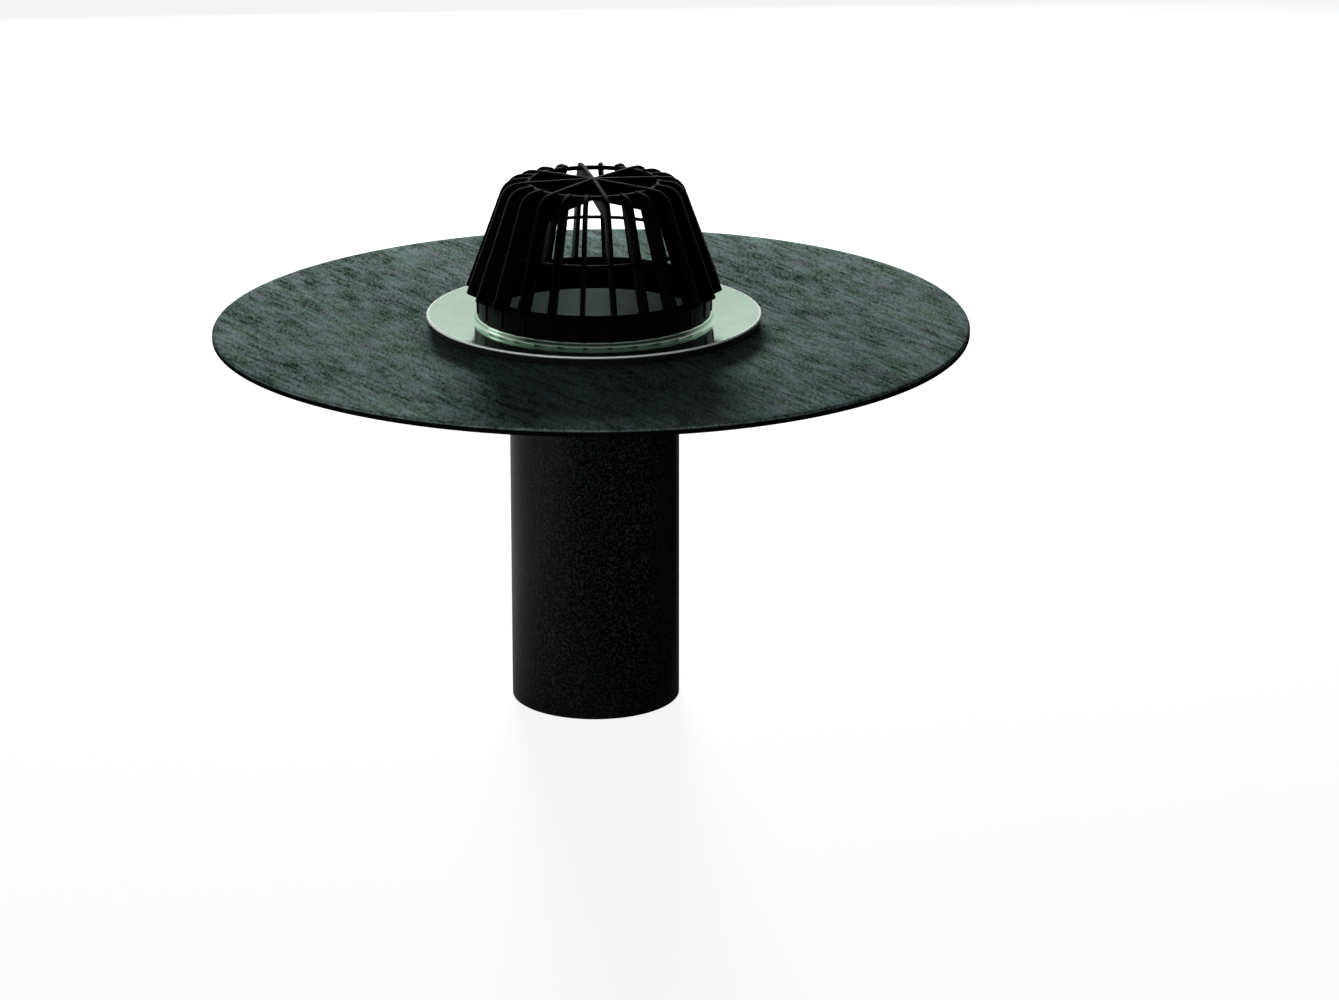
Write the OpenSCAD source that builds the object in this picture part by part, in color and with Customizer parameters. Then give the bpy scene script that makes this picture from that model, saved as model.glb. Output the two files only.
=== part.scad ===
// Flat roof drain: a steel inlet funnel clamps a bitumen collar onto a moulded hopper,
// a plain pipe leads down from the hopper, and a finned leaf guard sits on the mouth.
// Origin: centre of the pipe's lower end, +Z up, millimetres.

/* [Membrane collar] */
// Diameter of the bitumen sheet
collar_d = 490; // [360:5:700]
// Thickness of the sheet
collar_t = 4.4; // [3:0.1:8]
// Rounding of the sheet's cut edge
collar_edge = 0.8; // [0.2:0.1:1.4]

/* [Outlet pipe] */
// Outside diameter of the pipe
pipe_d = 110; // [90:1:120]
// Wall of the pipe
pipe_wall = 4.2; // [2.6:0.1:6]
// Distance from the sheet's underside down to the pipe's end
pipe_drop = 249; // [150:1:500]
// Bevel on the outer edge of the cut end
pipe_bevel = 0.6; // [0.2:0.1:1.5]
// Step down of the outside where the pipe enters its socket
end_step = 0.8; // [0.6:0.1:1.4]
// Distance that this shoulder stays below the socket
shoulder_gap = 1; // [0.5:0.5:4]

/* [Inlet funnel] */
// Thickness of the pressed steel
gauge = 1.8; // [1.2:0.1:2.4]
// Diameter over the flange
flange_d = 216; // [190:1:300]
// Fall of the flange from its rim to the bead
flange_fall = 3.8; // [1:0.1:6]
// Clear diameter of the mouth
mouth_d = 147.2; // [140:0.2:160]
// Width of the bead rolled round the mouth
bead_w = 3; // [2.4:0.1:4.5]
// Height of the bead above the flange
bead_h = 4.2; // [3:0.1:8]
// Fillet at the foot of the bead, limited by its outer wall
bead_fillet = 2.3; // [0.8:0.1:3]
// Depth of the bowl's upright wall below the sheet
bowl_drop = 13; // [12:1:30]
// Slope of the bowl's cone, measured from level
bowl_slope = 35; // [28:1:45]
// Rounding inside the bowl where its wall turns in
bowl_round = 8; // [3:0.5:10]
// Rounding under the funnel where the cone turns down into the spigot
throat_round = 4; // [2:0.5:5]
// Rounding under the flange where it turns down into the bowl
neck_round = 2; // [1:0.5:3]
// Length of the spigot inside the pipe
spigot_l = 20; // [8:1:40]
// Gap all round between the spigot and the pipe's bore
spigot_gap = 0.6; // [0.2:0.1:1.5]

/* [Bedding ring] */
// Thickness of the ring beside the mouth
bed_t = 0.8; // [0.5:0.1:3]
// Distance that the ring stays inside the flange's rim
bed_inset = 1.6; // [0.5:0.1:6]
// Space between the bowl's wall and the ring and sheet round it
hole_gap = 4; // [2.5:0.5:10]

/* [Outlet hopper] */
// Wall of the hopper
hopper_wall = 4; // [3:0.1:6]
// Thickness of the flange under the sheet
hopper_flange_t = 5; // [3:0.1:6]
// Distance that this flange stays inside the steel one
hopper_inset = 4; // [0:0.5:12]
// Depth that this flange is pressed into the sheet's underside
hopper_bed = 0.6; // [0.3:0.1:1.5]
// Space between the steel bowl and the hopper
hopper_gap = 0.6; // [0.3:0.1:1.2]
// Height of the stop above the pipe's top end
stop_h = 3; // [3:0.5:10]
// Depth of the socket that takes the pipe
socket_l = 15; // [10:1:60]
// Gap all round between the pipe and its socket
socket_gap = 0.15; // [0.05:0.05:0.4]
// Rounding outside where the hopper's cone turns down into the socket
sleeve_round = 8; // [4:0.5:12]
// Rounding under the flange where it meets the hopper's wall
hopper_fillet = 2; // [0.5:0.5:3]
// Rounding of the hopper's edges
hopper_edge = 1; // [0.3:0.1:1.4]

/* [Leaf guard] */
// Number of fins
fin_count = 24; // [18:3:30]
// Thickness of a fin
fin_t = 2.4; // [1.6:0.1:3]
// Depth of a fin, measured level
fin_depth = 13; // [9:0.5:14]
// Lean of the fins from upright
fin_lean = 20; // [14:0.2:23]
// Turn of the first fin from +X
fin_start = 9.5; // [0:0.5:14.5]
// Height of the fins above the mouth's bead, at the crown ring
guard_h = 87.2; // [74:0.2:92]
// Fall of their upper edges from the crown ring out to the shoulder
fin_fall = 1; // [0.4:0.1:3]
// Diameter over the fins' lower corners
foot_d = 165.6; // [162:0.2:175]
// Height of those corners above the bead
foot_h = 15.6; // [13:0.2:20]
// Slope of the fins' lower edges, measured from level
foot_slope = 25; // [20:1:40]
// Rounding of those corners
foot_round = 1; // [0.4:0.1:2]
// Rounding at the shoulder of a fin
shoulder_r = 13; // [4:0.5:14]
// Depth of a plain fin under the crown ring, where it turns down
knee_h = 6; // [4:0.5:9]
// Rounding of a plain fin there
knee_round = 5; // [2:0.5:7]
// Depth of a spoke under its own lower edge, where it turns down
spoke_knee_h = 2; // [1:0.5:4]
// Rounding of a spoke there
spoke_knee_round = 9; // [5:0.5:10]
// Outside diameter of the skirt
skirt_d = 151; // [149:0.2:153]
// Wall of the skirt
skirt_wall = 2.2; // [1.6:0.1:3]
// Height of the skirt above the bead
skirt_h = 17; // [15:0.2:19]
// Height of the ledge inside the skirt
ledge_z = 13.6; // [10:0.2:14.6]
// Width of this ledge
ledge_w = 2.4; // [1:0.1:3]
// Thickness of this ledge
ledge_t = 1.2; // [0.8:0.1:2]
// Distance that the skirt dips into the mouth
dip = 3.6; // [3:0.2:12]
// Gap all round between the dipping skirt and the mouth
dip_gap = 0.8; // [0.3:0.1:1.5]
// Thickness of the skirt's step over the bead, and of the fins' lip inside the skirt
step_t = 1; // [0.6:0.1:1.6]
// Distance that each fin's rib stands out from the skirt
rib_proud = 0.8; // [0.4:0.1:1.5]
// Height of the ribs' lower ends above the bead
rib_z = 2; // [1:0.5:4]
// Height of the slender hoop half way up
hoop_z = 46.2; // [36:0.2:54]
// Height of that hoop's section
hoop_t = 1.8; // [1.2:0.1:3]
// Width of the hoops' section at the hoop and the crown
hoop_w = 3; // [2:0.1:4]
// Diameter of the crown ring, on its centre line
ring_d = 84; // [70:1:90]
// Height of the crown ring's section
ring_h = 2.6; // [2:0.1:4]
// Depth of the crown ring below the fins' upper edges
ring_drop = 1; // [0.4:0.1:2]
// Every how many fins one runs on to the hub as a spoke
spoke_every = 3; // [3:3:6]
// Depth of the spokes at the hub
spoke_h = 13.5; // [9:0.5:18]
// Rise of the spokes from the crown ring to the hub
crown_rise = 0.8; // [0:0.1:3]
// Diameter of the hub
hub_d = 7; // [5:0.5:12]

/* [Hidden] */
$fn = 96;
SEAT = 0.05; // hairline between faces that rest on each other
FULL = 0.49; // share of a thickness that rounds its edge all but full
ROOM = 0.85; // share of a wall's height that a fillet at its foot may take

// Radii of the funnel and of what lines up with it
pipe_r = pipe_d / 2;
bore_r = pipe_r - pipe_wall;
spigot_r = bore_r - spigot_gap;
throat_r = spigot_r - gauge;
mouth_r = mouth_d / 2;
bowl_r = mouth_r + gauge;
bead_r = mouth_r + bead_w;
rim_r = flange_d / 2;
hole_r = bowl_r + hole_gap;
foot_r = foot_d / 2;
skirt_r = skirt_d / 2;
ring_r = ring_d / 2;

// Heights, from the pipe's end upward
sheet_z = pipe_drop;
top_z = sheet_z + collar_t;
apron_z = top_z + bed_t + SEAT;
foot_z = apron_z + gauge;
seat_z = foot_z + bead_h;
cone_z = sheet_z - bowl_drop;
throat_z = cone_z - (mouth_r - throat_r) * tan(bowl_slope);

// Hopper's flange, pressed into the sheet from below
hopper_r = rim_r - hopper_inset;
hopper_z = sheet_z + hopper_bed;

// A wall at distance d outside the bowl turns at these corners
function turn(d) = d * [1, -tan((90 - bowl_slope) / 2)];
function cone_corner(d) = [mouth_r, cone_z] + turn(d);
function throat_corner(d) = [throat_r, throat_z] + turn(d);
socket_d = gauge + hopper_gap;
stop_z = throat_corner(socket_d)[1] - stop_h;
spigot_z = stop_z - spigot_l;
socket_z = stop_z - socket_l;
end_r = pipe_r - end_step;

// Height of the flange's underside at radius r
function apron_at(r) = apron_z + flange_fall * (r - bead_r) / (rim_r - bead_r);

// Corner b between a and c, rounded by r: points along the arc that touches both sides
function unit(v) = v / norm(v);
function arc_corner(a, b, c, r, n) =
    let(u = unit(a - b), v = unit(c - b), half = acos(u * v) / 2,
        mid = b + unit(u + v) * r / sin(half),
        from = b + u * r / tan(half) - mid, to = b + v * r / tan(half) - mid,
        a0 = atan2(from[1], from[0]), sweep = atan2(from[0] * to[1] - from[1] * to[0], from * to))
    [for (i = [0 : n]) mid + r * [cos(a0 + sweep * i / n), sin(a0 + sweep * i / n)]];

// Outline from corners [x, y] or [x, y, rounding]
function flat(p) = [p[0], p[1]];
function rounded(p, n = 6) = [for (i = [0 : len(p) - 1])
    each len(p[i]) < 3 ? [p[i]] :
        arc_corner(flat(p[(i + len(p) - 1) % len(p)]), flat(p[i]), flat(p[(i + 1) % len(p)]), p[i][2], n)];
function with_round(p, r) = [p[0], p[1], r];

// Plain pipe, its shouldered end pushed up into the hopper's socket
module outlet_pipe() {
    shoulder_z = socket_z - shoulder_gap;
    color([0.09, 0.10, 0.11])
        rotate_extrude()
            polygon([[bore_r, 0], [pipe_r - pipe_bevel, 0], [pipe_r, pipe_bevel], [pipe_r, shoulder_z],
                     [end_r, shoulder_z], [end_r, stop_z - SEAT], [bore_r, stop_z - SEAT]]);
}

// Moulded hopper under the sheet: flange, wall round the bowl, stop and socket for the pipe
module outlet_hopper() {
    outer_d = socket_d + hopper_wall;
    socket_r = end_r + socket_gap;
    sleeve_r = socket_r + hopper_wall;
    sleeve_z = cone_corner(outer_d)[1] - (cone_corner(outer_d)[0] - sleeve_r) * tan(bowl_slope);
    under_z = hopper_z - hopper_flange_t;
    color([0.06, 0.06, 0.065])
        rotate_extrude()
            polygon(rounded([
                [bowl_r + hopper_gap, hopper_z - SEAT],
                with_round(cone_corner(socket_d), bowl_round + socket_d),
                with_round(throat_corner(socket_d), throat_round - hopper_gap),
                [bore_r, stop_z],
                [socket_r, stop_z],
                [socket_r, socket_z],
                [sleeve_r, socket_z, hopper_edge],
                [sleeve_r, sleeve_z, sleeve_round],
                with_round(cone_corner(outer_d), bowl_round + outer_d),
                [cone_corner(outer_d)[0], under_z, hopper_fillet],
                [hopper_r, under_z, hopper_edge],
                [hopper_r, hopper_z - SEAT, hopper_edge]]));
}

// Bitumen sheet with a round hole for the bowl and the print of the hopper's flange below
module membrane_collar() {
    color([0.26, 0.30, 0.28])
        rotate_extrude()
            polygon(rounded([
                [hole_r, hopper_z],
                [hopper_r + SEAT, hopper_z],
                [hopper_r + SEAT, sheet_z],
                [collar_d / 2, sheet_z, collar_edge],
                [collar_d / 2, top_z, collar_edge],
                [hole_r, top_z]], 3));
}

// Black ring between the sheet and the steel flange, thicker towards the rim
module bedding_ring() {
    out_r = rim_r - bed_inset;
    color([0.03, 0.03, 0.03])
        rotate_extrude()
            polygon([[hole_r, top_z + SEAT / 2], [out_r, top_z + SEAT / 2],
                     [out_r, apron_at(out_r) - SEAT], [hole_r, apron_at(hole_r) - SEAT]]);
}

// Pressed steel funnel: dished flange, rolled bead, bowl, cone and spigot in one piece
module inlet_funnel() {
    foot_fillet = min(bead_fillet, (bead_h - bead_w * FULL) * ROOM);
    color([0.72, 0.77, 0.74])
        rotate_extrude()
            polygon(rounded([
                [bowl_r, apron_at(bowl_r), neck_round],
                with_round(cone_corner(gauge), bowl_round + gauge),
                with_round(throat_corner(gauge), throat_round),
                [spigot_r, spigot_z],
                [throat_r, spigot_z],
                with_round(throat_corner(0), throat_round + gauge),
                with_round(cone_corner(0), bowl_round),
                [mouth_r, seat_z, bead_w * FULL],
                [bead_r, seat_z, bead_w * FULL],
                [bead_r, foot_z, foot_fillet],
                [rim_r, foot_z + flange_fall, gauge * FULL],
                [rim_r, apron_at(rim_r), gauge * FULL]]));
}

// Height on the fins' outer edge gives their radius there
function fin_r(z) = foot_r - (z - foot_h) * tan(fin_lean);

// Section of a fin, as radius and height above the bead; a spoke runs on to the hub
function fin_outline(spoke) =
    let(rib_r = skirt_r + rib_proud,
        root_z = foot_h - (foot_r - rib_r) * tan(foot_slope),
        wall_r = skirt_r - skirt_wall / 2,
        lip_r = skirt_r - skirt_wall - step_t,
        in_r = fin_r(foot_h) - fin_depth,
        ring_z = guard_h - ring_drop - ring_h,
        knee_z = spoke ? guard_h - spoke_h - spoke_knee_h : ring_z - knee_h,
        knee_r = fin_r(knee_z) - fin_depth,
        centre_r = hub_d / 4)
    rounded(concat(
        [[wall_r, rib_z], [rib_r, rib_z], [rib_r, root_z], [foot_r, foot_h, foot_round],
         [fin_r(guard_h - fin_fall), guard_h - fin_fall, shoulder_r]],
        spoke ? [[ring_r, guard_h], [centre_r, guard_h + crown_rise], [centre_r, guard_h - spoke_h]]
              : [[ring_r, guard_h], [ring_r, ring_z]],
        [[knee_r, knee_z, spoke ? spoke_knee_round : knee_round], [in_r, foot_h], [lip_r, root_z],
         [wall_r, root_z - wall_r + lip_r]]), 5);

module fin(spoke) {
    rotate([90, 0, 0])
        linear_extrude(fin_t, center = true)
            polygon(fin_outline(spoke));
}

// Square-edged hoop: inner and outer radius, lower face and height
module hoop(r0, r1, z, h) {
    rotate_extrude()
        polygon([[r0, z], [r1, z], [r1, z + h], [r0, z + h]]);
}

// Skirt that sits on the bead, with a step that dips into the mouth and a ledge inside
module skirt() {
    dip_r = mouth_r - dip_gap;
    hoop(skirt_r - skirt_wall - ledge_w, skirt_r - skirt_wall / 2, ledge_z - ledge_t, ledge_t);
    rotate_extrude()
        polygon([[dip_r, SEAT], [skirt_r, SEAT], [skirt_r, skirt_h], [skirt_r - skirt_wall, skirt_h],
                 [skirt_r - skirt_wall, skirt_wall + step_t], [dip_r - skirt_wall, SEAT],
                 [dip_r - skirt_wall, -dip], [dip_r, -dip]]);
}

// Finned guard, moulded in one piece
module leaf_guard() {
    mid_r = fin_r(hoop_z) - fin_depth / 2;
    color([0.04, 0.04, 0.045])
        translate([0, 0, seat_z]) {
            skirt();
            hoop(mid_r - hoop_w / 2, mid_r + hoop_w / 2, hoop_z - hoop_t / 2, hoop_t);
            hoop(ring_r - hoop_w / 2, ring_r + hoop_w / 2, guard_h - ring_drop - ring_h, ring_h);
            translate([0, 0, guard_h - spoke_h])
                cylinder(d = hub_d, h = spoke_h + crown_rise);
            for (i = [0 : fin_count - 1])
                rotate([0, 0, fin_start + i * 360 / fin_count])
                    fin(i % spoke_every == 0);
        }
}

outlet_pipe();
outlet_hopper();
membrane_collar();
bedding_ring();
inlet_funnel();
leaf_guard();
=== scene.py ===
import math
import bpy
import numpy as np
from mathutils import Matrix, Vector


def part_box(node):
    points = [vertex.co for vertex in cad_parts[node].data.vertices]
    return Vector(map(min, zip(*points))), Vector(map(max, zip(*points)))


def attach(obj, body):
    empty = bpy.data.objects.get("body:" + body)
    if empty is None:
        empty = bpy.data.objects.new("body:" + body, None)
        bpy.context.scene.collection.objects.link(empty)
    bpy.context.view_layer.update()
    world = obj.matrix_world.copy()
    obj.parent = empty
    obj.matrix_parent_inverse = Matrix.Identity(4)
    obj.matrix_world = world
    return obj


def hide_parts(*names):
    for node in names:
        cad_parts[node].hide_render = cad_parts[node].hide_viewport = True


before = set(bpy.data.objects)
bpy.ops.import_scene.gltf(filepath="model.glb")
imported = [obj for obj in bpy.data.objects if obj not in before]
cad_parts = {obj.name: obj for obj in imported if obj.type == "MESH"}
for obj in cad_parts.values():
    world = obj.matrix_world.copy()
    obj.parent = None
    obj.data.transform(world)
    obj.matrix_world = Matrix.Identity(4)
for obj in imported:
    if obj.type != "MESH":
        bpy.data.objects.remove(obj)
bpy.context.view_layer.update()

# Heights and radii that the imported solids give, in metres
sheetLow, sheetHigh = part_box("membrane_collar")
funnelLow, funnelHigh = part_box("inlet_funnel")
guardLow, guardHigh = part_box("leaf_guard")
pipeLow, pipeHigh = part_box("outlet_pipe")
bedLow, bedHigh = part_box("bedding_ring")
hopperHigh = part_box("outlet_hopper")[1]

hairline = 0.00005  # gap between faces that are bonded or rest on each other
mouthR = 0.0736     # clear radius of the funnel's mouth
holeR = 0.0794      # radius of the hole through the sheet and the bedding ring
softEdge = 0.0004   # rounding of a plain moulded or cut edge


# Arc between two straight sides: points at distance r from the centre, turning evenly
# from one tangent point to the other.
def cornerArc(before, corner, after, r, steps):
    toBefore = (before - corner) / np.linalg.norm(before - corner)
    toAfter = (after - corner) / np.linalg.norm(after - corner)
    half = math.acos(np.clip(toBefore @ toAfter, -1, 1)) / 2
    bisector = (toBefore + toAfter) / np.linalg.norm(toBefore + toAfter)
    centre = corner + bisector * r / math.sin(half)
    start = corner + toBefore * r / math.tan(half) - centre
    end = corner + toAfter * r / math.tan(half) - centre
    sweep = math.atan2(start[0] * end[1] - start[1] * end[0], start @ end)
    turn = math.atan2(start[1], start[0]) + sweep * np.linspace(0, 1, steps + 1)
    return centre + r * np.stack([np.cos(turn), np.sin(turn)], 1)


# Closed outline from corners (x, y, rounding): a corner without rounding stays one point,
# any other becomes its arc.
def roundedOutline(corners, steps):
    points = np.array([corner[:2] for corner in corners], float)
    runs = []
    for i, corner in enumerate(corners):
        if corner[2] > 0:
            following = points[(i + 1) % len(corners)]
            runs.append(cornerArc(points[i - 1], points[i], following, corner[2], steps))
        else:
            runs.append(points[i:i + 1])
    return np.concatenate(runs)


# Outline whose long sides are cut into equal steps, none longer than the given length
def splitSides(outline, longest):
    runs = []
    for start, end in zip(outline, np.roll(outline, -1, axis=0)):
        count = max(1, math.ceil(np.linalg.norm(end - start) / longest))
        runs.append(start + (end - start) * np.linspace(0, 1, count, endpoint=False)[:, None])
    return np.concatenate(runs)


# Quads of a grid whose points are numbered row by row. Its columns close on themselves,
# and so do its rows unless closeRows is off.
def gridFaces(rows, columns, closeRows=True):
    lastRow = rows if closeRows else rows - 1
    row, column = np.meshgrid(np.arange(lastRow), np.arange(columns), indexing="ij")
    nextRow, nextColumn = (row + 1) % rows, (column + 1) % columns
    quads = np.stack([row * columns + column, nextRow * columns + column,
                      nextRow * columns + nextColumn, row * columns + nextColumn], -1)
    return quads.reshape(-1, 4)


# Turned ring: point (r, z) of a closed section at angle a is (r cos a, r sin a, z).
# Every shell is its points and a list of face arrays.
def turned(section, segments):
    angle = np.linspace(0, 2 * math.pi, segments, endpoint=False)
    r, z = section.T
    points = np.stack([np.outer(np.cos(angle), r), np.outer(np.sin(angle), r),
                       np.broadcast_to(z, (segments, len(z)))], -1)
    return points.reshape(-1, 3), [gridFaces(segments, len(section))]


# Turned solid whose open section starts and ends on the axis: rings (r cos a, r sin a, z)
# between one point at each pole, which a fan of triangles joins to the nearest ring.
def turnedSolid(section, segments):
    angle = np.linspace(0, 2 * math.pi, segments, endpoint=False)
    r, z = section[1:-1].T
    rings = np.stack([np.outer(r, np.cos(angle)), np.outer(r, np.sin(angle)),
                      np.broadcast_to(z[:, None], (len(z), segments))], -1).reshape(-1, 3)
    poles = [[0, 0, section[0, 1]], [0, 0, section[-1, 1]]]
    here = np.arange(segments)
    ahead = (here + 1) % segments
    top = (len(z) - 1) * segments
    fan = lambda pole, first, second: np.stack([np.full(segments, pole), first, second], 1)
    return np.concatenate([rings, poles]), [
        gridFaces(len(z), segments, closeRows=False)[:, ::-1],
        fan(len(rings), ahead, here),
        fan(len(rings) + 1, top + here, top + ahead)]


# Plate with rounded edges: the outline is moved in by e (1 - cos t) and out of the mid plane
# by h - e + e sin t, for t from -90 to 90 degrees, and closed by a flat face on each side.
def roundedPlate(outline, thickness, edge, steps=2):
    before, after = np.roll(outline, 1, axis=0), np.roll(outline, -1, axis=0)
    side = (outline - before) / np.linalg.norm(outline - before, axis=1)[:, None]
    nextSide = (after - outline) / np.linalg.norm(after - outline, axis=1)[:, None]
    inward = np.stack([-side[:, 1] - nextSide[:, 1], side[:, 0] + nextSide[:, 0]], 1)
    inward /= 1 + np.sum(side * nextSide, axis=1)[:, None]
    t = np.linspace(0, math.pi / 2, steps + 1)
    inset = edge * (1 - np.cos(t))
    lift = thickness / 2 - edge + edge * np.sin(t)
    inset, lift = np.concatenate([inset[::-1], inset]), np.concatenate([-lift[::-1], lift])
    flat = outline[None] + inward[None] * inset[:, None, None]
    points = np.concatenate([flat, np.broadcast_to(lift[:, None, None], flat.shape[:2] + (1,))], 2)
    loop = np.arange(len(outline))[None]
    return points.reshape(-1, 3), [
        gridFaces(len(lift), len(outline), closeRows=False)[:, ::-1],
        loop[:, ::-1],
        loop + (len(lift) - 1) * len(outline)]


# One mesh object of several shells. Edges sharper than sharpAngle, in degrees, stay crisp.
def addPiece(name, shells, sharpAngle=35):
    faces, start = [], 0
    for points, groups in shells:
        for group in groups:
            faces += (group + start).tolist()
        start += len(points)
    mesh = bpy.data.meshes.new(name)
    mesh.from_pydata(np.concatenate([points for points, groups in shells]).tolist(), [], faces)
    mesh.polygons.foreach_set("use_smooth", np.ones(len(mesh.polygons), bool))
    mesh.set_sharp_from_angle(angle=math.radians(sharpAngle))
    mesh.update()
    piece = bpy.data.objects.new(name, mesh)
    bpy.context.scene.collection.objects.link(piece)
    return piece


# Gives a piece its finish and puts it in the place of a CAD node
def placePiece(piece, node, material):
    piece.data.materials.append(material)
    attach(piece, "root")
    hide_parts(node)
    print(f"{piece.name}: {len(piece.data.vertices)} points")


def startMaterial(name):
    material = bpy.data.materials.new(name)
    material.use_nodes = True
    tree = material.node_tree
    tree.nodes.clear()
    output = tree.nodes.new("ShaderNodeOutputMaterial")
    shader = tree.nodes.new("ShaderNodeBsdfPrincipled")
    tree.links.new(shader.outputs["BSDF"], output.inputs["Surface"])
    return material, tree, shader


# Object coordinates, turned round the axis and stretched
def objectPlace(tree, scale=(1, 1, 1), turn=0.0):
    place = tree.nodes.new("ShaderNodeTexCoord")
    mapping = tree.nodes.new("ShaderNodeMapping")
    mapping.vector_type = "TEXTURE"
    mapping.inputs["Rotation"].default_value = (0, 0, turn)
    mapping.inputs["Scale"].default_value = scale
    tree.links.new(place.outputs["Object"], mapping.inputs["Vector"])
    return mapping.outputs["Vector"]


def noise(tree, vector, scale, detail, roughness):
    node = tree.nodes.new("ShaderNodeTexNoise")
    node.inputs["Scale"].default_value = scale
    node.inputs["Detail"].default_value = detail
    node.inputs["Roughness"].default_value = roughness
    tree.links.new(vector, node.inputs["Vector"])
    return node.outputs["Fac"]


# A vector's length, or its share along a direction
def measure(tree, vector, along=None):
    node = tree.nodes.new("ShaderNodeVectorMath")
    node.operation = "DOT_PRODUCT" if along else "LENGTH"
    if along:
        node.inputs[1].default_value = along
    tree.links.new(vector, node.inputs[0])
    return node.outputs["Value"]


# Straight ramp from outLow to outHigh while the value goes from low to high, level outside
def spread(tree, value, low, high, outLow=0.0, outHigh=1.0):
    node = tree.nodes.new("ShaderNodeMapRange")
    node.inputs["From Min"].default_value = low
    node.inputs["From Max"].default_value = high
    node.inputs["To Min"].default_value = outLow
    node.inputs["To Max"].default_value = outHigh
    tree.links.new(value, node.inputs["Value"])
    return node.outputs["Result"]


# Mix of two colours, each a tuple or another node's output
def blendColour(tree, share, first, second):
    node = tree.nodes.new("ShaderNodeMix")
    node.data_type = "RGBA"
    for socket, value in (("A", first), ("B", second)):
        target = next(s for s in node.inputs if s.name == socket and s.type == "RGBA")
        if isinstance(value, tuple):
            target.default_value = (*value, 1)
        else:
            tree.links.new(value, target)
    tree.links.new(share, node.inputs["Factor"])
    return next(s for s in node.outputs if s.type == "RGBA")


# Math node on two values, each a number or another node's output
def combine(tree, operation, first, second):
    node = tree.nodes.new("ShaderNodeMath")
    node.operation = operation
    for socket, value in zip(node.inputs, (first, second)):
        if isinstance(value, (int, float)):
            socket.default_value = value
        else:
            tree.links.new(value, socket)
    return node.outputs["Value"]


def addBump(tree, shader, height, strength, distance):
    node = tree.nodes.new("ShaderNodeBump")
    node.inputs["Strength"].default_value = strength
    node.inputs["Distance"].default_value = distance
    tree.links.new(height, node.inputs["Height"])
    tree.links.new(node.outputs["Normal"], shader.inputs["Normal"])


# In the looks, a noise is (scale, detail, roughness) unless a note beside it says otherwise, a
# bump is (strength, distance), and a range is the part of a noise over which one colour or
# value turns into the next.
sheetLook = {
    "dark": (0.012, 0.020, 0.016),
    "paleGreen": (0.164, 0.240, 0.192),
    "paleBlue": (0.150, 0.216, 0.210),
    "palePurple": (0.176, 0.210, 0.217),
    "cutEdge": (0.002, 0.002, 0.002),
    "layers": (  # stretch, scale, degrees, weight
        (3.5, 640, -84, 0.34),   # grain
        (10.0, 300, -59, 0.25),  # fibres
        (3.0, 110, -66, 0.26),   # clouds
        (2.0, 18, -59, 0.15)),   # broad bands
    "toneRange": (0.39, 0.60),
    "patches": (3.0, 110, -66),  # stretch, scale, degrees
    "patchRange": (0.42, 0.58),
    "hues": (3.0, 70, -59),      # stretch, scale, degrees
    "hueRange": (0.50, 0.66),
    "layerNoise": (2, 0.6),      # detail and roughness of all of these
    "topSlope": (0.3, 0.6),      # upward share of the normal, from cut edge to top
    "roughness": (0.50, 0.36),
    "ior": 1.02,
    "bump": (0.25, 0.001),
    "cornerSteps": 6,
    "topEdge": 0.0018,
    "lowEdge": 0.0008,
    "segments": 288,
    "ringStep": 0.006,
    "bendFrom": 0.112,
    "bends": ((-0.0003, 0, 0), (0.00056, 1, math.radians(-25)), (0.00114, 2, math.radians(68))),
    "cuts": ((0.00136, 1, math.radians(-142)), (0.00126, 2, math.radians(71)),
             (0.00112, 3, math.radians(39))),
}


# The pattern runs much the way the sheet was rolled: each layer is a noise stretched along
# one direction, and their weighted sum is the tone. The cut edge is black.
def sheetMaterial(look):
    material, tree, shader = startMaterial("bitumenSheet")
    rolled = lambda stretch, scale, degrees: noise(
        tree, objectPlace(tree, (stretch, 1, 1), math.radians(degrees)), scale, *look["layerNoise"])
    tone = 0.0
    for *layer, weight in look["layers"]:
        tone = combine(tree, "ADD", combine(tree, "MULTIPLY", rolled(*layer), weight), tone)
    share = spread(tree, tone, *look["toneRange"])
    patch = spread(tree, rolled(*look["patches"]), *look["patchRange"])
    hue = spread(tree, rolled(*look["hues"]), *look["hueRange"])
    pale = blendColour(tree, patch, look["paleGreen"], look["paleBlue"])
    pale = blendColour(tree, hue, pale, look["palePurple"])
    normal = tree.nodes.new("ShaderNodeNewGeometry").outputs["True Normal"]
    level = spread(tree, measure(tree, normal, (0, 0, 1)), *look["topSlope"])
    colour = blendColour(tree, level, look["cutEdge"], blendColour(tree, share, look["dark"], pale))
    tree.links.new(colour, shader.inputs["Base Color"])
    tree.links.new(spread(tree, share, 0, 1, *look["roughness"]), shader.inputs["Roughness"])
    shader.inputs["IOR"].default_value = look["ior"]
    addBump(tree, shader, tone, *look["bump"])
    return material


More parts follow.
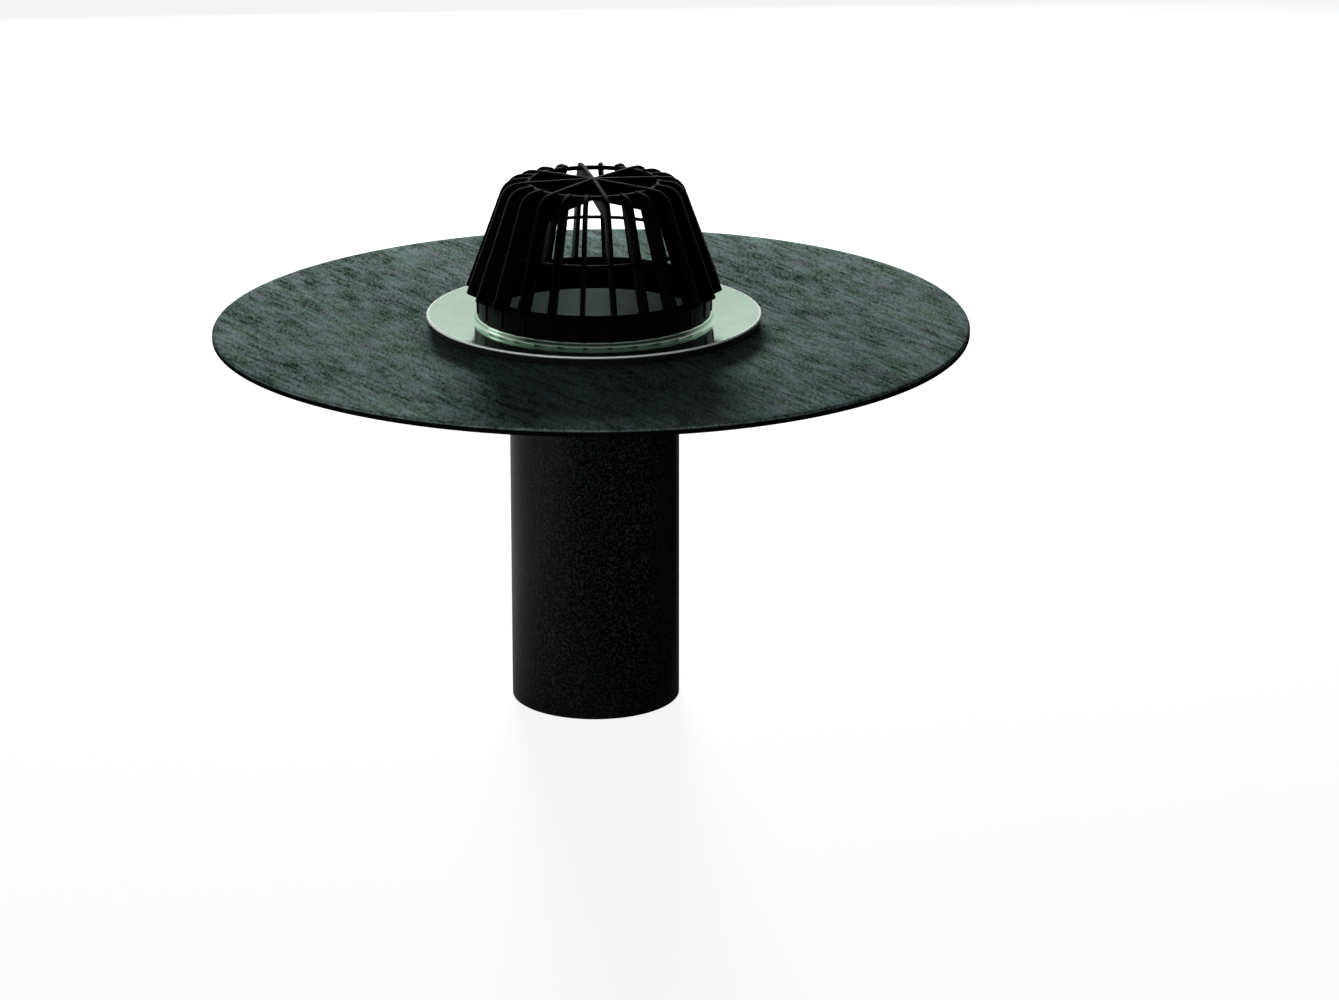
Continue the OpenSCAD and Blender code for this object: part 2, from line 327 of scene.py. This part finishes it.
# The hopper's flange is pressed into the sheet's underside. Outside the steel flange the loose
# sheet bends and its hand-cut edge wanders: z and r grow by the sum of s^2 a cos(n (f - g)),
# with s the share of the way to the edge, f the angle round the axis, and (a, n, g) one wave.
def sheetPiece(look):
    printR, printZ = hopperHigh.x + hairline, hopperHigh.z + hairline
    section = roundedOutline([
        (holeR, printZ, 0), (printR, printZ, 0), (printR, sheetLow.z, 0),
        (sheetHigh.x, sheetLow.z, look["lowEdge"]), (sheetHigh.x, sheetHigh.z, look["topEdge"]),
        (holeR, sheetHigh.z, 0)], look["cornerSteps"])
    points, faces = turned(splitSides(section, look["ringStep"]), look["segments"])
    radius, turn = np.hypot(points[:, 0], points[:, 1]), np.arctan2(points[:, 1], points[:, 0])
    share = np.clip((radius - look["bendFrom"]) / (sheetHigh.x - look["bendFrom"]), 0, 1)
    wander = lambda waves: sum(share ** 2 * a * np.cos(n * (turn - side)) for a, n, side in waves)
    points[:, 2] += wander(look["bends"])
    points[:, :2] *= (1 + wander(look["cuts"]) / radius)[:, None]
    return addPiece("bitumenSheet", [(points, faces)])


pipeLook = {
    "colour": (0.001, 0.0012, 0.0014),
    "speck": (0.009, 0.0108, 0.0122),
    "specks": (620, 2, 0.6),
    "speckRange": (0.46, 0.66),
    "drawn": (500, 2, 0.5),  # faint lines along the pipe
    "drawnStretch": (1, 1, 18),
    "roughness": 0.26,
    "ior": 1.28,
    "bump": (0.04, 0.0003),
    "wall": 0.0042,
    "bevel": 0.0006,
    "shoulderDrop": 0.016,
    "endStep": 0.0008,
    "segments": 256,
    "cornerSteps": 4,
}


def pipeMaterial(look):
    material, tree, shader = startMaterial("pipePlastic")
    specks = noise(tree, objectPlace(tree), *look["specks"])
    drawn = noise(tree, objectPlace(tree, look["drawnStretch"]), *look["drawn"])
    share = spread(tree, specks, *look["speckRange"])
    colour = blendColour(tree, share, look["colour"], look["speck"])
    tree.links.new(colour, shader.inputs["Base Color"])
    shader.inputs["Roughness"].default_value = look["roughness"]
    shader.inputs["IOR"].default_value = look["ior"]
    addBump(tree, shader, combine(tree, "ADD", specks, drawn), *look["bump"])
    return material


# Turned tube with a bevelled lower end, stepped down where it enters the hopper's socket
def pipePiece(look):
    outer, inner = pipeHigh.x, pipeHigh.x - look["wall"]
    shoulderZ, endR = pipeHigh.z - look["shoulderDrop"], pipeHigh.x - look["endStep"]
    section = roundedOutline([
        (inner, pipeLow.z, softEdge), (outer, pipeLow.z, look["bevel"]), (outer, shoulderZ, 0),
        (endR, shoulderZ, 0), (endR, pipeHigh.z, softEdge), (inner, pipeHigh.z, softEdge)],
        look["cornerSteps"])
    return addPiece("outletPipe", [turned(section, look["segments"])])


funnelLook = {
    "steel": (0.44, 0.565, 0.465),
    "steelDark": (0.37, 0.49, 0.405),
    "cloud": (60, 3, 0.6),
    "scratches": (1500, 2, 0.5),
    "scratchStretch": (12, 1, 1),
    "scratchTurn": 0.6,
    "noiseRange": (0.3, 0.7),
    "roughness": (0.07, 0.12),
    "edgeTint": (0.85, 0.95, 0.90),
    "flangeMetal": 0.82,
    # The bowl is a satin finish, and its pale base and lower metal are partly painted light,
    # standing in for the light the guard keeps out
    "bowl": (0.80, 0.88, 0.87),
    "bowlMetal": 0.8,
    "bowlRoughness": 0.35,
    "finishBlend": 0.001,  # width over which one finish turns into the next
    # The rim entries paint a highlight: a pale colour with almost no metal on the rim's upper edge
    "rim": (0.86, 0.92, 0.88),
    "rimMetal": 0.05,
    "rimRoughness": 0.40,
    "rimWidth": 0.0014,
    "rimBlend": 0.0003,
    "rimDepth": (0.7, 0.5),  # shares of the gauge below the rim's top where the painted highlight ends
    "bump": (0.08, 0.001),
    "segments": 320,
    "cornerSteps": 8,
    "gauge": 0.0018,
    "throatR": 0.0484,
    "beadW": 0.003,
    "beadH": 0.0042,
    "beadFillet": 0.0023,
    "flangeFall": 0.0038,
    "bowlDrop": 0.013,
    "slope": math.radians(35),
    "bowlRound": 0.008,
    "throatRound": 0.004,
    "neckRound": 0.002,
    "endRound": 0.0003,
    "fullRound": 0.49,  # rounding of the bead and the rim, as a share of their thickness
}


# Bright steel by distance from the axis: a satin bowl whose paler base colour is partly painted
# light, standing in for the light that the guard keeps from it, a near mirror on bead and flange,
# and a pale upper edge on the rim with almost no metal, which is a painted highlight.
def funnelMaterial(look):
    material, tree, shader = startMaterial("polishedSteel")
    plain = objectPlace(tree)
    cloud = noise(tree, plain, *look["cloud"])
    stretched = objectPlace(tree, look["scratchStretch"], look["scratchTurn"])
    scratches = noise(tree, stretched, *look["scratches"])
    radius = measure(tree, objectPlace(tree, (1, 1, 1e6)))  # the stretch takes the height out
    height = measure(tree, plain, (0, 0, 1))
    outside = spread(tree, radius, mouthR, mouthR + look["finishBlend"])
    beadTo = mouthR + look["beadW"] + look["beadFillet"]
    level = spread(tree, radius, beadTo, beadTo + look["finishBlend"], 1, look["flangeMetal"])
    # Painted highlight: the rim's upper edge gets a pale colour, little metal and more roughness
    rimFrom = funnelHigh.x - look["rimWidth"]
    rimTop = funnelHigh.z - look["beadH"] + look["flangeFall"]
    rim = spread(tree, radius, rimFrom - look["rimBlend"], rimFrom)
    rim = combine(tree, "MULTIPLY", rim, spread(
        tree, height, *(rimTop - depth * look["gauge"] for depth in look["rimDepth"])))
    share = spread(tree, cloud, *look["noiseRange"])
    colour = blendColour(tree, share, look["steelDark"], look["steel"])
    colour = blendColour(tree, rim, colour, look["rim"])
    # Inside the mouth the bowl's pale colour is partly painted light
    tree.links.new(blendColour(tree, outside, look["bowl"], colour), shader.inputs["Base Color"])
    polish = spread(tree, scratches, *look["noiseRange"], *look["roughness"])
    satin = combine(tree, "MULTIPLY", combine(tree, "SUBTRACT", 1, outside), look["bowlRoughness"])
    satin = combine(tree, "MAXIMUM", satin, combine(tree, "MULTIPLY", rim, look["rimRoughness"]))
    tree.links.new(combine(tree, "MAXIMUM", polish, satin), shader.inputs["Roughness"])
    metal = combine(tree, "MULTIPLY", spread(tree, outside, 0, 1, look["bowlMetal"], 1), level)
    metal = combine(tree, "MINIMUM", metal, spread(tree, rim, 0, 1, 1, look["rimMetal"]))
    tree.links.new(metal, shader.inputs["Metallic"])
    shader.inputs["Specular Tint"].default_value = (*look["edgeTint"], 1)
    addBump(tree, shader, cloud, *look["bump"])
    return material


# Turned section of the pressed steel: from under the flange down outside the bowl and its cone
# to the spigot, and back up inside, over the bead and out along the dished flange. The flange
# rises by flangeFall times the share of the way from bead to rim.
def funnelPiece(look):
    gauge, throatR, rimR = look["gauge"], look["throatR"], funnelHigh.x
    seatZ = funnelHigh.z
    footZ = seatZ - look["beadH"]
    beadR, beadRound = mouthR + look["beadW"], look["beadW"] * look["fullRound"]
    rimRound, endRound = gauge * look["fullRound"], look["endRound"]
    coneZ = sheetLow.z - look["bowlDrop"]
    throatZ = coneZ - (mouthR - throatR) * math.tan(look["slope"])
    turnDown = math.tan((math.pi / 2 - look["slope"]) / 2)
    apronAt = lambda r: footZ - gauge + look["flangeFall"] * (r - beadR) / (rimR - beadR)
    section = roundedOutline([
        (mouthR + gauge, apronAt(mouthR + gauge), look["neckRound"]),
        (mouthR + gauge, coneZ - gauge * turnDown, look["bowlRound"] + gauge),
        (throatR + gauge, throatZ - gauge * turnDown, look["throatRound"]),
        (throatR + gauge, funnelLow.z, endRound),
        (throatR, funnelLow.z, endRound),
        (throatR, throatZ, look["throatRound"] + gauge),
        (mouthR, coneZ, look["bowlRound"]),
        (mouthR, seatZ, beadRound),
        (beadR, seatZ, beadRound),
        (beadR, footZ, look["beadFillet"]),
        (rimR, footZ + look["flangeFall"], rimRound),
        (rimR, apronAt(rimR), rimRound)], look["cornerSteps"])
    return addPiece("steelFunnel", [turned(section, look["segments"])])


bedLook = {
    "colour": (0.003, 0.003, 0.003),
    "speck": (0.010, 0.010, 0.010),
    "grain": (800, 2, 0.6),
    "grainRange": (0.4, 0.7),
    "roughness": 0.8,
    "ior": 1.3,
    "bump": (0.4, 0.0004),
    "segments": 192,
    "cornerSteps": 3,
    "thin": 0.0008,
}

hopperLook = {
    "colour": (0.010, 0.010, 0.011),
    "speck": (0.018, 0.018, 0.020),
    "grain": (600, 2, 0.6),
    "grainRange": (0.4, 0.7),
    "roughness": 0.5,
    "ior": 1.5,
    "bump": (0.2, 0.0003),
}


# Dull black with a fine paler grain, for the bedding ring and the hopper
def grainyMaterial(name, look):
    material, tree, shader = startMaterial(name)
    grain = noise(tree, objectPlace(tree), *look["grain"])
    share = spread(tree, grain, *look["grainRange"])
    colour = blendColour(tree, share, look["colour"], look["speck"])
    tree.links.new(colour, shader.inputs["Base Color"])
    shader.inputs["Roughness"].default_value = look["roughness"]
    shader.inputs["IOR"].default_value = look["ior"]
    addBump(tree, shader, grain, *look["bump"])
    return material


# Turned wedge that fills the room between the sheet and the rising flange
def bedPiece(look):
    section = roundedOutline([
        (holeR, bedLow.z, 0), (bedHigh.x, bedLow.z, softEdge), (bedHigh.x, bedHigh.z, softEdge),
        (holeR, bedLow.z + look["thin"], 0)], look["cornerSteps"])
    return addPiece("beddingRing", [turned(section, look["segments"])])


# Heights count up from the seat on the bead
guardLook = {
    "colour": (0.001, 0.001, 0.001),
    "shine": (0.002, 0.002, 0.002),
    "cloud": (90, 3, 0.6),
    "grain": (1200, 2, 0.5),
    "shineRange": (0.4, 0.7),
    "glossRange": (0.3, 0.7),
    "roughness": (0.30, 0.42),
    "ior": 1.1,
    "bump": (0.15, 0.0002),
    "finCount": 24,
    "finT": 0.0024,
    "finDepth": 0.013,
    "finLean": math.radians(20),
    "finStart": math.radians(9.5),
    "finFall": 0.001,
    "finEdge": 0.0004,
    "guardH": 0.0872,
    "footR": 0.0828,
    "footH": 0.0156,
    "footSlope": math.radians(25),
    "footRound": 0.001,
    "rootRound": 0.002,
    "shoulderR": 0.013,
    "kneeH": 0.006,
    "kneeRound": 0.005,
    "spokeKneeH": 0.002,
    "spokeKneeRound": 0.009,
    "skirtR": 0.0755,
    "skirtWall": 0.0022,
    "skirtH": 0.017,
    "ledgeZ": 0.0136,
    "ledgeW": 0.0024,
    "ledgeT": 0.0012,
    "dip": 0.0036,
    "dipGap": 0.0008,
    "stepT": 0.001,
    "ribProud": 0.0008,
    "ribZ": 0.002,
    "hoopZ": 0.0462,
    "hoopT": 0.0018,
    "hoopW": 0.003,
    "ringR": 0.042,
    "ringH": 0.0026,
    "ringDrop": 0.001,
    "spokeEvery": 3,
    "spokeH": 0.0135,
    "crownRise": 0.0008,
    "hubR": 0.0035,
    "hubSegments": 48,
    "segments": 192,
    "cornerSteps": 3,
    "finCornerSteps": 5,
}


def guardMaterial(look):
    material, tree, shader = startMaterial("guardPlastic")
    plain = objectPlace(tree)
    cloud = noise(tree, plain, *look["cloud"])
    share = spread(tree, cloud, *look["shineRange"])
    colour = blendColour(tree, share, look["colour"], look["shine"])
    tree.links.new(colour, shader.inputs["Base Color"])
    gloss = spread(tree, cloud, *look["glossRange"], *look["roughness"])
    tree.links.new(gloss, shader.inputs["Roughness"])
    shader.inputs["IOR"].default_value = look["ior"]
    addBump(tree, shader, noise(tree, plain, *look["grain"]), *look["bump"])
    return material


# Radius of a fin's outer edge, which leans in with the height above its foot
def finEdgeR(look, z):
    return look["footR"] - (z - look["footH"]) * math.tan(look["finLean"])


# Fin in its own plane, (r, z): the rib on the skirt, the sloped foot, the leaning outer edge
# and its round shoulder, then a deep spoke to the hub or a short arm to the crown ring, and
# down again at finDepth behind the outer edge.
def finOutline(look, spoke):
    ribR = look["skirtR"] + look["ribProud"]
    rootZ = look["footH"] - (look["footR"] - ribR) * math.tan(look["footSlope"])
    wallR = look["skirtR"] - look["skirtWall"] / 2
    lipR = look["skirtR"] - look["skirtWall"] - look["stepT"]
    top, shoulder = look["guardH"], look["guardH"] - look["finFall"]
    ringZ = top - look["ringDrop"] - look["ringH"]
    if spoke:
        kneeZ, kneeRound = top - look["spokeH"] - look["spokeKneeH"], look["spokeKneeRound"]
        inner = [(look["ringR"], top, 0), (look["hubR"] / 2, top + look["crownRise"], 0),
                 (look["hubR"] / 2, top - look["spokeH"], 0)]
    else:
        kneeZ, kneeRound = ringZ - look["kneeH"], look["kneeRound"]
        inner = [(look["ringR"], top, 0), (look["ringR"], ringZ, 0)]
    return roundedOutline([
        (wallR, look["ribZ"], 0), (ribR, look["ribZ"], softEdge), (ribR, rootZ, softEdge),
        (look["footR"], look["footH"], look["footRound"]),
        (finEdgeR(look, shoulder), shoulder, look["shoulderR"]),
        *inner,
        (finEdgeR(look, kneeZ) - look["finDepth"], kneeZ, kneeRound),
        (look["footR"] - look["finDepth"], look["footH"], look["rootRound"]),
        (lipR, rootZ, 0), (wallR, rootZ - wallR + lipR, 0)], look["finCornerSteps"])


# Each fin stands in the plane through the axis at its own angle a:
# (r, z, lift) goes to (r cos a + lift sin a, r sin a - lift cos a, z).
def finShells(look, seatZ):
    shells = []
    for spoke in (True, False):
        points, faces = roundedPlate(finOutline(look, spoke), look["finT"], look["finEdge"])
        r, z, lift = points.T
        for i in range(look["finCount"]):
            if (i % look["spokeEvery"] == 0) == spoke:
                a = look["finStart"] + i * 2 * math.pi / look["finCount"]
                placed = np.stack([r * math.cos(a) + lift * math.sin(a),
                                   r * math.sin(a) - lift * math.cos(a), z + seatZ], 1)
                shells.append((placed, faces))
    return shells


# One moulding: the skirt, whose lower end dips into the mouth, the ledge inside it, the slender
# hoop half way up, the crown ring and the hub are turned, and the fins run through them.
def guardPiece(look):
    seatZ = guardLow.z + look["dip"]
    segments, steps = look["segments"], look["cornerSteps"]
    skirtR, wall = look["skirtR"], look["skirtWall"]
    wallR, dipR = skirtR - wall, mouthR - look["dipGap"]
    lowZ, highZ, stepZ = seatZ + hairline, seatZ + look["skirtH"], seatZ + wall + look["stepT"]
    skirt = roundedOutline([
        (dipR, lowZ, 0), (skirtR, lowZ, softEdge), (skirtR, highZ, softEdge),
        (wallR, highZ, softEdge), (wallR, stepZ, softEdge), (dipR - wall, lowZ, softEdge),
        (dipR - wall, guardLow.z, softEdge), (dipR, guardLow.z, softEdge)], steps)
    hoop = lambda r0, r1, z, h: turned(roundedOutline([
        (r0, seatZ + z, softEdge), (r1, seatZ + z, softEdge),
        (r1, seatZ + z + h, softEdge), (r0, seatZ + z + h, softEdge)], steps), segments)
    ledgeT, hoopT, halfW = look["ledgeT"], look["hoopT"], look["hoopW"] / 2
    hoopR = finEdgeR(look, look["hoopZ"]) - look["finDepth"] / 2
    ringR, ringZ = look["ringR"], look["guardH"] - look["ringDrop"] - look["ringH"]
    hubR, hubLow = look["hubR"], seatZ + look["guardH"] - look["spokeH"]
    hub = roundedOutline([(0, hubLow, 0), (hubR, hubLow, softEdge), (hubR, guardHigh.z, softEdge),
                          (0, guardHigh.z, 0)], steps)
    return addPiece("finnedGuard", [
        turned(skirt, segments),
        hoop(wallR - look["ledgeW"], skirtR - wall / 2, look["ledgeZ"] - ledgeT, ledgeT),
        hoop(hoopR - halfW, hoopR + halfW, look["hoopZ"] - hoopT / 2, hoopT),
        hoop(ringR - halfW, ringR + halfW, ringZ, look["ringH"]),
        turnedSolid(hub, look["hubSegments"]),
        *finShells(look, seatZ)])


placePiece(sheetPiece(sheetLook), "membrane_collar", sheetMaterial(sheetLook))
placePiece(pipePiece(pipeLook), "outlet_pipe", pipeMaterial(pipeLook))
placePiece(funnelPiece(funnelLook), "inlet_funnel", funnelMaterial(funnelLook))
placePiece(bedPiece(bedLook), "bedding_ring",
           grainyMaterial("beddingRubber", bedLook))
placePiece(guardPiece(guardLook), "leaf_guard", guardMaterial(guardLook))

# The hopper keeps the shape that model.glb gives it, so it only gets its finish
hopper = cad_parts["outlet_hopper"]
hopper.data.materials.clear()
hopper.data.materials.append(grainyMaterial("hopperPlastic", hopperLook))
print("outlet_hopper: finish set")


# The studio is bright behind the object and dim before it: brightness goes from dim to 1 as a
# direction's share of brightSide, or a place's of floorSide, goes through its range. Only what
# mirrors sees this in full, and the diffuse light of the world is the ambient share of it.
stage = {
    "brightSide": (-0.25, 0.97, 0.0),
    "worldRange": (-0.15, 0.75),
    "dim": 0.012,
    "overhead": 0.2,
    "overheadRange": (0.1, 0.7),
    "ambient": 0.05,
    "floorSide": (-0.9, 0.45, 0.0),
    "floorRange": (-0.08, 0.25),
    "floorGloss": 0.35,
    "floorSize": 30.0,
    "floorColour": (0.80, 0.80, 0.80),
    "floorRoughness": 0.9,
    "cameraWhite": 0.90,
    "boreRange": (0.052, 0.053),  # distance from the axis where the white floor begins
}


# Floor that takes shadows, glows towards mirrors and is nearly white to the camera, but not
# inside the pipe that stands on it
def addFloor(look):
    half = look["floorSize"] / 2
    mesh = bpy.data.meshes.new("floor")
    mesh.from_pydata([(-half, -half, 0), (half, -half, 0), (half, half, 0), (-half, half, 0)],
                     [], [(0, 1, 2, 3)])
    floor = bpy.data.objects.new("floor", mesh)
    bpy.context.scene.collection.objects.link(floor)
    material, tree, shader = startMaterial("paleFloor")
    shader.inputs["Base Color"].default_value = (*look["floorColour"], 1)
    shader.inputs["Roughness"].default_value = look["floorRoughness"]
    shader.inputs["Specular IOR Level"].default_value = 0
    place = objectPlace(tree)
    path = tree.nodes.new("ShaderNodeLightPath")
    toCamera, toMirror = path.outputs["Is Camera Ray"], path.outputs["Is Glossy Ray"]
    gloss = spread(tree, measure(tree, place, look["floorSide"]), *look["floorRange"], look["dim"])
    gloss = combine(tree, "MULTIPLY", gloss, look["floorGloss"])
    glow = tree.nodes.new("ShaderNodeEmission")
    tree.links.new(combine(tree, "MAXIMUM", gloss, toCamera), glow.inputs["Strength"])
    white = spread(tree, measure(tree, place), *look["boreRange"], 0, look["cameraWhite"])
    seen = combine(tree, "MAXIMUM", combine(tree, "MULTIPLY", toCamera, white), toMirror)
    mix = tree.nodes.new("ShaderNodeMixShader")
    tree.links.new(seen, mix.inputs[0])
    tree.links.new(shader.outputs["BSDF"], mix.inputs[1])
    tree.links.new(glow.outputs["Emission"], mix.inputs[2])
    output = next(node for node in tree.nodes if node.type == "OUTPUT_MATERIAL")
    tree.links.new(mix.outputs["Shader"], output.inputs["Surface"])
    mesh.materials.append(material)


# White to the camera, and the graded studio to everything else
def addWorld(look):
    world = bpy.data.worlds.new("studio")
    bpy.context.scene.world = world
    world.use_nodes = True
    tree = world.node_tree
    tree.nodes.clear()
    output = tree.nodes.new("ShaderNodeOutputWorld")
    background = tree.nodes.new("ShaderNodeBackground")
    path = tree.nodes.new("ShaderNodeLightPath")
    direction = tree.nodes.new("ShaderNodeTexCoord").outputs["Generated"]
    toMirror, through = path.outputs["Is Glossy Ray"], path.outputs["Is Transmission Ray"]
    behind = measure(tree, direction, look["brightSide"])
    behind = spread(tree, behind, *look["worldRange"], look["dim"])
    above = measure(tree, direction, (0, 0, 1))
    above = spread(tree, above, *look["overheadRange"], 0, look["overhead"])
    bright = combine(tree, "MAXIMUM", behind, above)
    mirrored = combine(tree, "MAXIMUM", toMirror, through)
    strength = combine(tree, "MULTIPLY", bright, spread(tree, mirrored, 0, 1, look["ambient"], 1))
    strength = combine(tree, "MAXIMUM", strength, path.outputs["Is Camera Ray"])
    tree.links.new(strength, background.inputs["Strength"])
    background.inputs["Color"].default_value = (1, 1, 1, 1)
    tree.links.new(background.outputs["Background"], output.inputs["Surface"])


# Soft lamps: a low key from behind, whose shadow falls towards the camera, a faint one from the
# left, and a low fill for the rim and the pipe. Each has its place, the point that it looks at,
# its width and height, its power, and whether it shows in what mirrors.
lamps = {
    "backLamp": ((-0.12, 2.2, 0.58), (0, 0, 0.25), (0.6, 0.14), 258, False),
    "sideLamp": ((-1.9, 0.8, 1.0), (0, 0, 0.2), (0.7, 0.7), 2.5, True),
    "frontLamp": ((-1.0, -2.1, 0.38), (0, 0, 0.25), (0.5, 0.2), 28, False),
}


def addLamp(name, place, target, size, power, mirrored):
    light = bpy.data.lights.new(name, "AREA")
    light.shape = "RECTANGLE"
    light.size, light.size_y = size
    light.energy = power
    lamp = bpy.data.objects.new(name, light)
    lamp.visible_glossy = mirrored
    lamp.location = place
    lamp.rotation_euler = (Vector(target) - Vector(place)).to_track_quat("-Z", "Y").to_euler()
    bpy.context.scene.collection.objects.link(lamp)


cameraView = {
    "lens": 120.3,
    "sensor": 36.0,
    "clipEnd": 60,
    "distance": 2.889,
    "elevation": math.radians(15.27),
    "aimDown": math.radians(2.29),
    "aimRight": math.radians(1.0),
}


# The camera looks towards the centre of the sheet's top, turned down and right a little
def addCamera(look):
    camera = bpy.data.objects.new("camera", bpy.data.cameras.new("camera"))
    camera.data.lens = look["lens"]
    camera.data.sensor_width = look["sensor"]
    camera.data.clip_end = look["clipEnd"]
    camera.location = (0, -look["distance"] * math.cos(look["elevation"]),
                       sheetHigh.z + look["distance"] * math.sin(look["elevation"]))
    turn = Matrix.Rotation(-look["aimRight"], 3, "Z")
    tilt = Matrix.Rotation(math.pi / 2 - look["elevation"] - look["aimDown"], 3, "X")
    camera.rotation_euler = (turn @ tilt).to_euler()
    bpy.context.scene.collection.objects.link(camera)
    bpy.context.scene.camera = camera


addFloor(stage)
addWorld(stage)
for name, values in lamps.items():
    addLamp(name, *values)
addCamera(cameraView)
bpy.context.scene.view_settings.view_transform = "Standard"
print("floor, world, lamps and camera are set")
